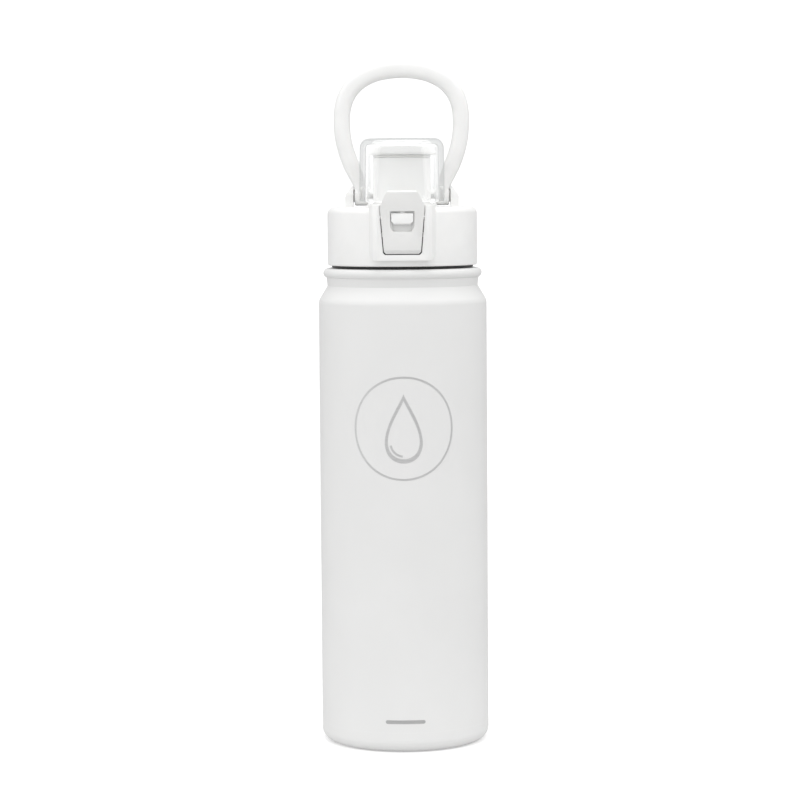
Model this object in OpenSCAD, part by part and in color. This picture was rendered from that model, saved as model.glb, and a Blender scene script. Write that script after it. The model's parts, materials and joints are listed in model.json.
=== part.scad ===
// Insulated water bottle: a double-wall vacuum flask with a screw lid, a clear
// flip-up hood over the drinking spout, a push latch with a slide lock, and a
// carry loop that swings on the hood's hinge pin.
// The latch faces -Y, the hinge is at +Y, +Z is up, and the origin is the centre
// of the face that the bottle stands on. Lengths are in millimetres.

/* [Bottle] */
// Outside diameter of the body
body_d = 74; // [73:0.5:75.5]
// Height at which the shoulder begins to turn in
shoulder_z = 193.8; // [150:0.2:240]
// Radius of the rounded edge at the foot
foot_corner_r = 5.5; // [4.8:0.1:6.5]
// Thickness of the steel sheet
sheet_t = 0.5; // [0.4:0.05:0.6]
// Space between the two walls that holds the vacuum
vacuum_gap = 4; // [3:0.25:4.5]
// Bore of the mouth
mouth_d = 53; // [52.5:0.25:53.5]
// Height of the neck above its bead
neck_h = 17; // [16.6:0.1:17.6]

/* [Lid thread] */
// Rise of the thread in one turn
thread_pitch = 5; // [4.75:0.25:5.25]
// Turns of thread on the neck and in the lid
thread_turns = 1.25; // [1:0.05:1.25]
// Height of the thread above the neck
thread_h = 1.2; // [1:0.05:1.2]
// Gap between the two threads' crests and roots
thread_gap = 0.3; // [0.25:0.05:0.35]

/* [Lid] */
// Height of the lid from its lower edge to its deck
lid_h = 25.4; // [25:0.1:26]
// Radius of the rounded edge around the deck
deck_edge_r = 2.8; // [2:0.1:3]
// Outside diameter of the drinking spout
spout_d = 25.2; // [24:0.2:26]
// Bore of the drinking spout
spout_bore_d = 22; // [20:0.5:22.5]

/* [Hood] */
// Width of the hood
hood_w = 37.3; // [36.5:0.1:38]
// Height of the hood's top above the deck
hood_top = 29.8; // [29.4:0.1:30.4]
// Wall of the clear hood
hood_wall = 2.4; // [2:0.1:2.6]

/* [Latch] */
// Height of the latch plate
latch_h = 27.1; // [26.5:0.1:27.5]
// Width of the latch plate at its widest
latch_w = 19.1; // [18.8:0.1:20]
// Travel of the lock slide
lock_travel = 2.7; // [2.4:0.1:2.7]

/* [Carry loop] */
// Outside width of the loop
loop_w = 60.2; // [59:0.2:62]
// Height of the loop's top above the hinge pin
loop_h = 60.3; // [58:0.5:66]
// Thickness of the loop seen from the front
loop_t = 7.3; // [6.6:0.1:7.5]
// Depth of the loop from front to back
loop_depth = 9; // [7:0.5:9]
// Diameter of the hinge pin
hinge_pin_d = 3; // [2.5:0.25:3]

/* [Hidden] */

$fn = 96;
eps = 0.01;
// Gap that lets one piece turn on another
run_gap = 0.06;
// Gap between pieces that are fitted without touching
fit_gap = 0.05;
// Number of straight pieces in an arc of an outline
arc_steps = 8;

white_coat = [0.93, 0.93, 0.92];
white_plastic = [0.95, 0.95, 0.94];
dark_plastic = [0.18, 0.18, 0.19];
clear_plastic = [0.86, 0.90, 0.92, 0.45];
silicone = [0.88, 0.89, 0.88];
steel = [0.72, 0.73, 0.75];

// Body of the bottle
body_r = body_d / 2;
mouth_r = mouth_d / 2;
liner_neck_r = mouth_r + sheet_t;
neck_in_r = liner_neck_r + 0.9;
neck_r = neck_in_r + sheet_t;
base_seam_z = foot_corner_r + 3.5;
foot_in_r = 26.5;
foot_recess_h = 2.4;
end_cap_z = base_seam_z - 2.8;
end_cap_rim_z = base_seam_z + 3;
end_cap_corner_r = 3;
liner_r = body_r - sheet_t - vacuum_gap;
liner_z = end_cap_z + 4.8;
liner_corner_r = 9;

// Lid radii, from the neck outwards
thread_root_r = neck_r + thread_h + thread_gap;
core_r = thread_root_r + 1.2;
cover_in_r = core_r + fit_gap;
lid_r = cover_in_r + 1.75;

// Shoulder, groove and bead
shoulder_bend_r = 5;
shoulder_lean = 31;
groove_r = lid_r + 0.2;
bend_end_r = body_r - shoulder_bend_r * (1 - cos(shoulder_lean));
bend_end_z = shoulder_z + shoulder_bend_r * sin(shoulder_lean);
groove_z = bend_end_z + (bend_end_r - groove_r) / tan(shoulder_lean);
bead_r = 2.1;
bead_mid_r = lid_r + 2 - bead_r;
bead_mid_z = groove_z + 3.5 + bead_r;
bead_top_z = bead_mid_z + bead_r;
neck_fillet = 0.8;
neck_z = bead_top_z + neck_h;
lip_z = neck_z + sheet_t;

// Heights in the lid
lid_z = bead_top_z + 1.3;
deck_z = lid_z + lid_h;
deck_t = 2;
core_z = lid_z - 0.9;
core_plate_z = lip_z + 1.3;
core_top_z = core_plate_z + 2;
plug_wall_r = mouth_r - 1.3;
plug_wall_t = 1.6;
plug_z = lid_z + 5.1;
plug_floor_t = 2;
plug_in_z = plug_z + plug_floor_t;
neck_thread_z = bead_top_z + 4.6;
lid_thread_z = neck_thread_z - thread_pitch / 2;

// Spout
spout_y = -7;
spout_r = spout_d / 2;
spout_bore_r = spout_bore_d / 2;
spout_top_z = deck_z + 21.6;
socket_in_r = spout_r + 0.1;
socket_r = spout_r + 1.7;
spout_flange_r = socket_r + 0.9;
spout_flange_t = 1.5;

// Hinge that the hood and the carry loop share
hinge_y = 19;
hinge_z = deck_z + 4.9;
pin_r = hinge_pin_d / 2;
bore_r = pin_r + run_gap;
knuckle_r = 4;
lug_in_x = 6;
lug_out_x = 8.8;
knuckle_in_x = 9.1;
knuckle_out_x = 14.5;
eye_in_x = 15;
eye_out_x = 21;
eye_r = 4.4;
ear_in_x = 21.7;
ear_out_x = 25.4;
ear_r = 4.3;

// Hood
hood_z = deck_z + 2.2;
hood_top_z = deck_z + hood_top;
hood_front_low_r = 30.4;
hood_front_top_r = 25;
hood_back_y = hinge_y - 1.8;
hood_narrow_y = 13;
hood_wide_y = -1;
hood_corner_r = 4;
hood_brow_r = 3.5;
seal_carrier_r = 15.2;
plug_flange_t = 1;

// Latch
latch_z = lid_z + 5.5;
latch_top_z = latch_z + latch_h;
latch_bend_z = latch_top_z - 7.3;
latch_front_y = -(lid_r + 2.9);
latch_t = 2.4;
latch_back_y = latch_front_y + latch_t;
latch_lean = 0.7;
latch_gap = 0.4;
pivot_y = latch_back_y + 1.2;
pivot_z = latch_z + 15.3;
pivot_pin_r = 0.9;
pivot_lug_r = 2;
pivot_lug_in_x = 6.2;
pivot_lug_out_x = 8.6;
hook_z = latch_top_z - 2.6;
hook_t = 1.6;
catch_y = pivot_y + 0.1;

// Housing around the latch
housing_w = 28.6;
housing_front_w = 24.6;
housing_front_y = latch_front_y + 0.6;
housing_z = lid_z + 2.7;
housing_top_z = deck_z + 0.9;

// Lock slide
lock_w = 9.4;
lock_h = 4.9;
lock_z = latch_z + 12.6;
lock_depth = 1.5;
lock_web_gap = 0.1;
lock_back_t = 0.8;
lock_back_w = 10.6;
lock_back_drop = 3.1;
lock_top_z = lock_z + lock_h + 0.8;
stop_bar_z = lock_z - lock_back_drop - 2.3;
stop_bar_h = 2;

// Points along an arc, from angle a0 to angle a1
function arc(mid, r, a0, a1, steps = arc_steps) =
    [for (i = [0 : steps]) mid + r * [cos(a0 + (a1 - a0) * i / steps), sin(a0 + (a1 - a0) * i / steps)]];

function reversed(list) = [for (i = [len(list) - 1 : -1 : 0]) list[i]];

function mirrored(list) = concat(list, [for (p = reversed(list)) [-p[0], p[1]]]);

// A point at t, from 0 to 1, on the cubic curve that four points control
function bezier(p, t) =
    pow(1 - t, 3) * p[0] + 3 * pow(1 - t, 2) * t * p[1] + 3 * (1 - t) * t * t * p[2] + t * t * t * p[3];

function unit(v) = v / norm(v);

// A skin over a row of rings that have equal numbers of points, closed at both ends.
// Each ring runs clockwise, seen from the row's far end.
module skin(rings) {
    count = len(rings[0]);
    last = len(rings) - 1;
    points = [for (ring = rings) each ring];
    sides = [for (i = [0 : last - 1], j = [0 : count - 1], half = [0, 1])
        let (a = i * count + j, b = i * count + (j + 1) % count)
        half == 0 ? [a, b, b + count] : [a, b + count, a + count]];
    first_cap = [for (j = [count - 1 : -1 : 0]) j];
    last_cap = [for (j = [0 : count - 1]) last * count + j];
    polyhedron(points, concat(sides, [first_cap, last_cap]));
}

// Rings of a section carried along a path. The section's second direction stays square to "side".
function path_rings(path, section, side) =
    [for (i = [0 : len(path) - 1])
        let (
            ahead = path[min(i + 1, len(path) - 1)],
            behind = path[max(i - 1, 0)],
            along = unit(ahead - behind),
            across = unit(cross(side, along)),
            up = cross(across, along))
        [for (p = section) path[i] + p[0] * across + p[1] * up]];

// Rings of a helical ridge on radius r that fades in and out over its ends
function thread_rings(r, h, start_z, inward) =
    let (
        steps = ceil(thread_turns * 36),
        root_half = 1.1,
        crest_half = 0.5,
        root_sink = 0.25,
        fade = 4,
        way = inward ? -1 : 1)
    [for (i = [0 : steps])
        let (
            turn = thread_turns * 360 * i / steps,
            rise = start_z + thread_pitch * turn / 360,
            grown = max(0.12, min(1, i / fade, (steps - i) / fade)),
            crest_r = r + way * h * grown,
            root_r = r - way * root_sink,
            section = [[root_r, -root_half], [crest_r, -crest_half],
                       [crest_r, crest_half], [root_r, root_half]],
            ring = [for (p = section) [p[0] * cos(turn), p[0] * sin(turn), rise + p[1]]])
        inward ? reversed(ring) : ring];

// Outside of the steel shell from its seam to the top of the neck, drawn inset by t
function shell_outline(t) = concat(
    [[body_r - t, base_seam_z]],
    arc([body_r - shoulder_bend_r, shoulder_z], shoulder_bend_r - t, 0, shoulder_lean),
    [[groove_r - t, groove_z - t * tan(shoulder_lean / 2)]],
    arc([bead_mid_r, bead_mid_z], bead_r - t, -70, 90),
    [[neck_r + neck_fillet - t, bead_top_z - t]],
    arc([neck_r + neck_fillet, bead_top_z + neck_fillet], neck_fillet + t, 270, 180, 4),
    [[neck_r - t, neck_z]]);

module outer_shell() {
    color(white_coat) {
        rotate_extrude()
            polygon(concat(shell_outline(0), reversed(shell_outline(sheet_t))));
        skin(thread_rings(neck_r, thread_h, neck_thread_z, false));
    }
}

// Pressed cup with a raised centre, which gives the bottle its foot ring
function base_outline(t) = concat(
    [[0, foot_recess_h + t], [foot_in_r - foot_recess_h - t / 2, foot_recess_h + t]],
    [[foot_in_r, t]],
    arc([body_r - foot_corner_r, foot_corner_r], foot_corner_r - t, 270, 360),
    [[body_r - t, base_seam_z]]);

module outer_base() {
    color(white_coat)
        rotate_extrude()
            polygon(concat(base_outline(0), reversed(base_outline(sheet_t))));
}

// Structural bottom of the vacuum space, lapped inside the lower end of the shell
module vacuum_end_cap() {
    rim_r = body_r - sheet_t - fit_gap;
    seal_hole_r = 1;
    function outline(t) = concat(
        [[seal_hole_r, end_cap_z + t]],
        arc([rim_r - end_cap_corner_r, end_cap_z + end_cap_corner_r], end_cap_corner_r - t, 270, 360),
        [[rim_r - t, end_cap_rim_z]]);
    color(steel)
        rotate_extrude()
            polygon(concat(outline(0), reversed(outline(sheet_t))));
}

// Bead of solder that closes the hole through which the air was drawn out
module vacuum_seal() {
    stem_r = 0.95;
    head_r = 3;
    head_h = 1;
    color("dimgray") {
        translate([0, 0, end_cap_z - head_h])
            cylinder(h = head_h - eps, r1 = head_r - 1, r2 = head_r);
        translate([0, 0, end_cap_z - head_h / 2])
            cylinder(h = head_h / 2 + sheet_t, r = stem_r);
    }
}

// Gas-absorbing pellet in the vacuum space
module getter() {
    pellet_r = 4.5;
    pellet_h = 2.5;
    pellet_x = 14;
    color("silver")
        translate([pellet_x, 0, end_cap_z + sheet_t + eps])
            cylinder(h = pellet_h, r = pellet_r);
}

// Inside wall: a deep cup whose lip turns out over the neck
module inner_liner() {
    liner_shoulder_z = shoulder_z - 7;
    liner_neck_z = bead_mid_z - 4;
    function outline(t) = concat(
        [[0, liner_z + t]],
        arc([liner_r - liner_corner_r, liner_z + liner_corner_r], liner_corner_r - t, 270, 360),
        [[liner_r - t, liner_shoulder_z], [liner_neck_r - t, liner_neck_z]]);
    lip_in = [[mouth_r, lip_z]];
    lip_out = [[liner_neck_r, neck_z + eps], [neck_r, neck_z + eps], [neck_r, lip_z]];
    color(steel)
        rotate_extrude()
            polygon(concat(outline(0), lip_out, lip_in, reversed(outline(sheet_t))));
}

// Silicone ring between the lip and the lid's core
module lid_gasket() {
    gasket_in_r = plug_wall_r + fit_gap;
    gasket_out_r = thread_root_r - 0.6;
    gasket_corner = 0.3;
    bottom_z = lip_z + fit_gap;
    top_z = core_plate_z - fit_gap;
    color(silicone)
        rotate_extrude()
            polygon([[gasket_in_r, bottom_z], [gasket_out_r - gasket_corner, bottom_z],
                     [gasket_out_r, bottom_z + gasket_corner], [gasket_out_r, top_z - gasket_corner],
                     [gasket_out_r - gasket_corner, top_z], [gasket_in_r, top_z]]);
}

// Threaded inner part of the lid, with an insulated plug and a socket for the spout
module lid_core() {
    gasket_seat_z = core_top_z - 1.4;
    color(dark_plastic) {
        difference() {
            union() {
                rotate_extrude()
                    polygon([[thread_root_r, core_z], [core_r, core_z],
                             [core_r, core_top_z], [0, core_top_z],
                             [0, core_plate_z], [thread_root_r, core_plate_z]]);
                translate([0, 0, plug_in_z])
                    difference() {
                        cylinder(h = core_plate_z - plug_in_z + eps, r = plug_wall_r);
                        translate([0, 0, -1])
                            cylinder(h = core_plate_z - plug_in_z + 1, r = plug_wall_r - plug_wall_t);
                    }
                translate([0, spout_y, plug_in_z])
                    cylinder(h = core_plate_z - plug_in_z + eps, r = socket_r);
            }
            translate([0, spout_y, plug_in_z - 1])
                cylinder(h = core_top_z - plug_in_z + 2, r = socket_in_r);
            translate([0, spout_y, gasket_seat_z])
                cylinder(h = core_top_z, r = socket_r);
        }
        skin(thread_rings(thread_root_r, thread_h, lid_thread_z, true));
    }
}

// Foam ring inside the plug
module lid_foam() {
    foam_gap = 0.1;
    foam_h = core_plate_z - plug_in_z - 2 * foam_gap;
    color("ivory")
        translate([0, 0, plug_in_z + foam_gap])
            difference() {
                cylinder(h = foam_h, r = plug_wall_r - plug_wall_t - foam_gap);
                translate([0, spout_y, -1])
                    cylinder(h = foam_h + 2, r = socket_r + foam_gap);
            }
}

// Floor of the plug, welded under the foam
module lid_core_plate() {
    edge = 0.8;
    color(dark_plastic)
        difference() {
            rotate_extrude()
                polygon([[0, plug_z], [plug_wall_r - edge, plug_z], [plug_wall_r, plug_z + edge],
                         [plug_wall_r, plug_in_z - eps], [0, plug_in_z - eps]]);
            translate([0, spout_y, plug_z - 1])
                cylinder(h = plug_floor_t + 2, r = spout_bore_r);
        }
}

// Plan of the housing that stands out of the collar around the latch
module housing_plan() {
    corner = 1.2;
    root_y = -(lid_r - 4);
    shoulder_y = -(lid_r - 3.2);
    polygon([[-housing_w / 2, root_y], [-housing_w / 2, shoulder_y],
             [-housing_front_w / 2 - corner / 3, housing_front_y + corner],
             [-housing_front_w / 2 + corner, housing_front_y],
             [housing_front_w / 2 - corner, housing_front_y],
             [housing_front_w / 2 + corner / 3, housing_front_y + corner],
             [housing_w / 2, shoulder_y], [housing_w / 2, root_y]]);
}

// Housing around the latch, with rounded lower corners
module housing() {
    low_corner_r = 3.2;
    intersection() {
        translate([0, 0, housing_z])
            linear_extrude(housing_top_z - housing_z)
                housing_plan();
        along_y(housing_front_y - 1, 0)
            polygon(mirrored(concat(
                [[housing_w / 2, housing_top_z + 1]],
                arc([housing_w / 2 - low_corner_r, housing_z + low_corner_r], low_corner_r, 0, -90))));
    }
}

// Front outline of the latch plate, grown by g
function latch_outline(g) =
    let (
        top_w = 13.6 / 2 + g,
        wide_w = latch_w / 2 + g,
        low_w = latch_w / 2 - 1.6 + g,
        top_cut = 1.6,
        low_cut = 0.9)
    mirrored([[top_w - top_cut / 2, latch_top_z + g], [top_w + top_cut / 3, latch_top_z + g - top_cut],
              [wide_w - 0.2, latch_bend_z + 1.2], [wide_w, latch_bend_z],
              [low_w, latch_z + low_cut - g], [low_w - low_cut, latch_z - g]]);

// An extrusion along Y of an outline drawn in X and Z
module along_y(y0, y1) {
    translate([0, y1, 0])
        rotate([90, 0, 0])
            linear_extrude(y1 - y0)
                children();
}

// An extrusion along X of an outline drawn in Y and Z
module along_x(x0, x1) {
    translate([x0, 0, 0])
        rotate([90, 0, 90])
            linear_extrude(x1 - x0)
                children();
}

module x_cylinder(x0, x1, y, z, r) {
    translate([x0, y, z])
        rotate([0, 90, 0])
            cylinder(h = x1 - x0, r = r);
}

// Lug that holds the hinge pin, from the deck up to a round top
module hinge_lug(x0, x1, r) {
    lug_foot_z = deck_z - 1;
    x_cylinder(x0, x1, hinge_y, hinge_z, r);
    translate([x0, hinge_y - r, lug_foot_z])
        cube([x1 - x0, 2 * r, hinge_z - lug_foot_z]);
}

// Outer ear, whose upper edge slopes in and whose back follows the collar
module hinge_ear() {
    ear_foot_z = deck_z - 4.4;
    slope_z = hinge_z - 0.4;
    slope_mid_x = ear_out_x - 1.9;
    slope_top_z = hinge_z + ear_r;
    slope_drop = 1.4;
    collar_reach = 0.4;
    intersection() {
        union() {
            x_cylinder(ear_in_x, ear_out_x, hinge_y, hinge_z, ear_r);
            translate([ear_in_x, hinge_y - ear_r, ear_foot_z])
                cube([ear_out_x - ear_in_x, 2 * ear_r, hinge_z - ear_foot_z]);
        }
        along_y(hinge_y - 2 * ear_r, hinge_y + 2 * ear_r)
            polygon([[ear_in_x - 1, ear_foot_z], [ear_out_x, ear_foot_z], [ear_out_x, slope_z],
                     [slope_mid_x, slope_top_z - slope_drop], [ear_in_x + 0.4, slope_top_z],
                     [ear_in_x - 1, slope_top_z]]);
        cylinder(h = 2 * deck_z, r = lid_r + collar_reach);
    }
}

// Visible outer part of the lid: collar, deck, latch housing and hinge lugs
module lid_cover() {
    rim_cut = 0.5;
    inner_corner_r = 1.5;
    under_z = deck_z - deck_t;
    curb_r = spout_r + 2.6;
    curb_h = 1.4;
    boss_r = spout_flange_r + 1.2;
    flange_top_z = core_top_z + spout_flange_t + 2 * fit_gap;
    window_back_y = -(core_r - 1.3);
    window_top_w = latch_w / 2 + latch_gap;
    bar_front_y = pivot_y - 0.15;
    bar_back_y = -(core_r + 0.1);
    pin_end_x = 12.7;
    color(white_plastic) {
        difference() {
            union() {
                rotate_extrude()
                    polygon(concat(
                        [[cover_in_r, lid_z], [lid_r - rim_cut, lid_z], [lid_r, lid_z + rim_cut]],
                        arc([lid_r - deck_edge_r, deck_z - deck_edge_r], deck_edge_r, 0, 90),
                        [[0, deck_z], [0, under_z]],
                        arc([cover_in_r - inner_corner_r, under_z - inner_corner_r],
                            inner_corner_r, 90, 0)));
                housing();
                translate([0, spout_y, under_z - eps])
                    cylinder(h = deck_t + curb_h, r = curb_r);
                translate([0, spout_y, flange_top_z])
                    cylinder(h = under_z - flange_top_z + eps, r = boss_r);
                for (side = [0, 1])
                    mirror([side, 0, 0]) {
                        hinge_lug(lug_in_x, lug_out_x, knuckle_r);
                        hinge_ear();
                    }
            }
            translate([0, 0, housing_z - 1])
                cylinder(h = core_top_z + fit_gap - housing_z + 1, r = cover_in_r);
            translate([0, spout_y, core_top_z])
                cylinder(h = 2 * deck_t + curb_h + 10, r = socket_in_r + 0.2);
            along_y(2 * latch_front_y, window_back_y)
                polygon(concat(
                    [[window_top_w, deck_z + 10], [window_top_w, latch_bend_z]],
                    [for (p = latch_outline(latch_gap)) if (p[1] < latch_bend_z - eps) p],
                    [[-window_top_w, latch_bend_z], [-window_top_w, deck_z + 10]]));
            for (side = [0, 1])
                mirror([side, 0, 0])
                    x_cylinder(window_top_w - 1, pin_end_x + 0.1, pivot_y, pivot_z, pivot_pin_r);
            x_cylinder(-ear_out_x - 1, ear_out_x + 1, hinge_y, hinge_z, pin_r);
        }
        translate([-window_top_w - 1, bar_front_y, stop_bar_z])
            cube([2 * window_top_w + 2, bar_back_y - bar_front_y, stop_bar_h]);
    }
}

// Drinking spout, clamped between the core and the cover
module spout() {
    lip_r = 0.7;
    foot_z = plug_in_z + 0.05;
    flange_z = core_top_z + fit_gap;
    color(white_plastic)
        translate([0, spout_y, 0])
            rotate_extrude()
                polygon(concat(
                    [[spout_bore_r, foot_z], [spout_r, foot_z], [spout_r, flange_z],
                     [spout_flange_r, flange_z], [spout_flange_r, flange_z + spout_flange_t],
                     [spout_r, flange_z + spout_flange_t]],
                    arc([spout_r - lip_r, spout_top_z - lip_r], lip_r, 0, 90, 5),
                    arc([spout_bore_r + lip_r, spout_top_z - lip_r], lip_r, 90, 180, 5)));
}

// Ring that seals the spout in the core
module spout_gasket() {
    ring_r = 0.62;
    color(silicone)
        translate([0, spout_y, core_top_z - 0.7])
            rotate_extrude()
                translate([spout_r + 0.05 + ring_r, 0])
                    circle(r = ring_r, $fn = 32);
}

// Acetal pin through the ears, the loop's eyes, the hood's knuckles and the lugs
module hinge_pin() {
    pin_inset = 0.4;
    color(white_plastic)
        x_cylinder(-ear_out_x + pin_inset, ear_out_x - pin_inset, hinge_y, hinge_z, pin_r);
}

// Friction washers that hold the carry loop where it is put
module loop_washers() {
    washer_r = 2.9;
    washer_gap = 0.1;
    color(silicone)
        for (side = [0, 1])
            mirror([side, 0, 0])
                difference() {
                    x_cylinder(eye_out_x + washer_gap, ear_in_x - washer_gap, hinge_y, hinge_z, washer_r);
                    x_cylinder(eye_out_x, ear_in_x, hinge_y, hinge_z, pin_r + eps);
                }
}

// Solid form of the hood, drawn inset by t, whose floor is at floor_z
module hood_form(t, floor_z) {
    half_w = hood_w / 2 - t;
    back_half_w = knuckle_out_x - t;
    back_y = hood_back_y - t;
    top_z = hood_top_z - t;
    corner_r = hood_corner_r - t;
    brow_r = hood_brow_r - t;
    nape_r = 5 - t;
    side_draft = 0.4;
    low_r = hood_front_low_r - t;
    top_r = hood_front_top_r - t;
    full_h = hood_top_z - hood_z;
    intersection() {
        translate([0, 0, floor_z])
            linear_extrude(top_z - floor_z)
                polygon([[-half_w, -low_r - 1], [half_w, -low_r - 1], [half_w, hood_wide_y],
                         [back_half_w, hood_narrow_y], [back_half_w, back_y],
                         [-back_half_w, back_y], [-back_half_w, hood_narrow_y], [-half_w, hood_wide_y]]);
        union() {
            translate([0, 0, hood_z])
                cylinder(h = full_h, r1 = low_r, r2 = top_r);
            translate([0, 0, hood_z - 5])
                cylinder(h = 5 + eps, r = low_r);
        }
        along_y(-low_r - 1, hood_back_y + 1)
            polygon(mirrored(concat(
                [[half_w, floor_z - 1]],
                arc([half_w - side_draft - corner_r, top_z - corner_r], corner_r, 0, 90, 6))));
        along_x(-half_w - 1, half_w + 1)
            polygon(concat(
                [[-low_r - 1, floor_z - 1], [-low_r - 1, top_z - 6]],
                arc([-top_r + brow_r, top_z - brow_r], brow_r, 165, 90, 6),
                arc([back_y - nape_r, top_z - nape_r], nape_r, 90, 0, 6),
                [[back_y, floor_z - 1]]));
    }
}

// Clear flip-up hood with an arch over the latch and a catch under the latch's hook
module hood() {
    arch_w = latch_w / 2 + 1.4;
    arch_top_w = 8.4;
    arch_z = latch_top_z + 1.2;
    arch_depth = 1.2;
    catch_w = 9;
    catch_z = hook_z - 0.15;
    catch_root_y = -(hood_front_low_r - 2.8);
    spring_clear_r = knuckle_r + 1.4;
    lug_clear_x = lug_out_x + 0.15;
    color(clear_plastic)
        difference() {
            union() {
                difference() {
                    hood_form(0, hood_z);
                    hood_form(hood_wall, hood_z - 1);
                    difference() {
                        along_y(2 * latch_front_y, 0)
                            polygon(mirrored([[arch_top_w - 1.5, arch_z], [arch_top_w, arch_z - 1],
                                              [arch_w, hook_z - 4], [arch_w, hood_z - 1]]));
                        hood_form(arch_depth, hood_z - 2);
                    }
                    x_cylinder(-lug_clear_x, lug_clear_x, hinge_y, hinge_z, spring_clear_r);
                }
                for (side = [0, 1])
                    mirror([side, 0, 0])
                        x_cylinder(knuckle_in_x, knuckle_out_x, hinge_y, hinge_z, knuckle_r);
                translate([-catch_w / 2, catch_y, catch_z - hook_t])
                    cube([catch_w, catch_root_y - catch_y, hook_t]);
            }
            x_cylinder(-ear_out_x, ear_out_x, hinge_y, hinge_z, bore_r);
        }
}

// White disc under the hood's roof that carries the spout's plug
module seal_carrier() {
    carrier_z = spout_top_z + plug_flange_t + fit_gap;
    carrier_top_z = hood_top_z - hood_wall - eps;
    edge = 0.8;
    stud_r = 4;
    stud_h = 1;
    color(white_plastic)
        translate([0, spout_y, 0])
            rotate_extrude()
                polygon([[0, carrier_z - stud_h], [stud_r, carrier_z - stud_h], [stud_r, carrier_z],
                         [seal_carrier_r - edge, carrier_z], [seal_carrier_r, carrier_z + edge],
                         [seal_carrier_r, carrier_top_z - edge], [seal_carrier_r - edge, carrier_top_z],
                         [0, carrier_top_z]]);
}

// Silicone plug: a flange on the spout's lip and a tapered nose inside it
module spout_plug() {
    flange_r = spout_r;
    nose_r = spout_bore_r - 0.5;
    nose_tip_r = nose_r - 3;
    nose_h = 2.4;
    stud_r = 4.02;
    flange_z = spout_top_z + eps;
    flange_top_z = spout_top_z + plug_flange_t;
    color(silicone)
        translate([0, spout_y, 0])
            rotate_extrude()
                polygon([[0, flange_z - nose_h], [nose_tip_r, flange_z - nose_h], [nose_r, flange_z],
                         [flange_r, flange_z], [flange_r, flange_top_z], [stud_r, flange_top_z],
                         [stud_r, flange_z], [0, flange_z]]);
}

// Torsion spring around the hinge pin that lifts the hood when the latch lets go
module hood_spring() {
    wire_r = 0.4;
    coil_r = pin_r + 0.9;
    turns = 5.5;
    coil_half = 2.6;
    per_turn = 20;
    leg = 7.5;
    start_a = 270;
    steps = turns * per_turn;
    coil = [for (i = [0 : steps])
        let (a = start_a - 360 * i / per_turn)
        [-coil_half + 2 * coil_half * i / steps, hinge_y + coil_r * cos(a), hinge_z + coil_r * sin(a)]];
    first = [coil[0][0], coil[0][1] - leg, deck_z + wire_r + fit_gap];
    last = coil[steps] + [0, -leg, 0];
    color(steel)
        skin(path_rings(
            concat([first], coil, [last]),
            [for (a = [0 : 60 : 300]) wire_r * [cos(a), sin(a)]],
            [1, 0, 0]));
}

// Push plate of the latch, with a hook behind its top and lugs for its pivot
module latch() {
    bevel_h = 1.7;
    bevel_y = 1.1;
    back_bevel_h = 1.2;
    back_bevel_y = 0.6;
    top_cut = 0.6;
    root_sink = 0.5;
    hook_w = 10;
    hook_root_y = latch_back_y - latch_lean - root_sink;
    hook_tip_y = pivot_y + 0.9;
    lock_slot_w = 8.6;
    color(white_plastic)
        difference() {
            union() {
                intersection() {
                    along_y(2 * latch_front_y, 0)
                        polygon(latch_outline(0));
                    along_x(-latch_w, latch_w)
                        polygon([[latch_front_y + bevel_y, latch_z], [latch_front_y, latch_z + bevel_h],
                                 [latch_front_y, latch_bend_z],
                                 [latch_front_y - latch_lean, latch_top_z - top_cut],
                                 [latch_front_y - latch_lean + top_cut, latch_top_z],
                                 [latch_back_y - latch_lean, latch_top_z],
                                 [latch_back_y, latch_bend_z], [latch_back_y, latch_z + back_bevel_h],
                                 [latch_back_y - back_bevel_y, latch_z]]);
                }
                translate([-hook_w / 2, hook_root_y, hook_z])
                    cube([hook_w, hook_tip_y - hook_root_y, hook_t]);
                for (side = [0, 1])
                    mirror([side, 0, 0]) {
                        x_cylinder(pivot_lug_in_x, pivot_lug_out_x, pivot_y, pivot_z, pivot_lug_r);
                        translate([pivot_lug_in_x, latch_back_y - root_sink, pivot_z - pivot_lug_r])
                            cube([pivot_lug_out_x - pivot_lug_in_x, pivot_y - latch_back_y + root_sink,
                                  2 * pivot_lug_r]);
                    }
            }
            along_y(2 * latch_front_y, latch_front_y + lock_depth)
                lock_recess_outline();
            along_y(2 * latch_front_y, latch_back_y + 1)
                intersection() {
                    lock_recess_outline();
                    translate([-lock_slot_w / 2, latch_z])
                        square([lock_slot_w, latch_h]);
                }
            x_cylinder(-pivot_lug_out_x - 1, pivot_lug_out_x + 1, pivot_y, pivot_z, pivot_pin_r + run_gap);
        }
}

// Window in the face of the latch that the lock slides in, narrower at its foot
module lock_recess_outline() {
    half_w = lock_w / 2 + 0.5;
    foot_w = lock_w / 2 - 0.8;
    foot_z = lock_z - lock_travel - 0.3;
    polygon(mirrored([[half_w, lock_top_z], [half_w, foot_z + 2], [foot_w, foot_z]]));
}

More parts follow.
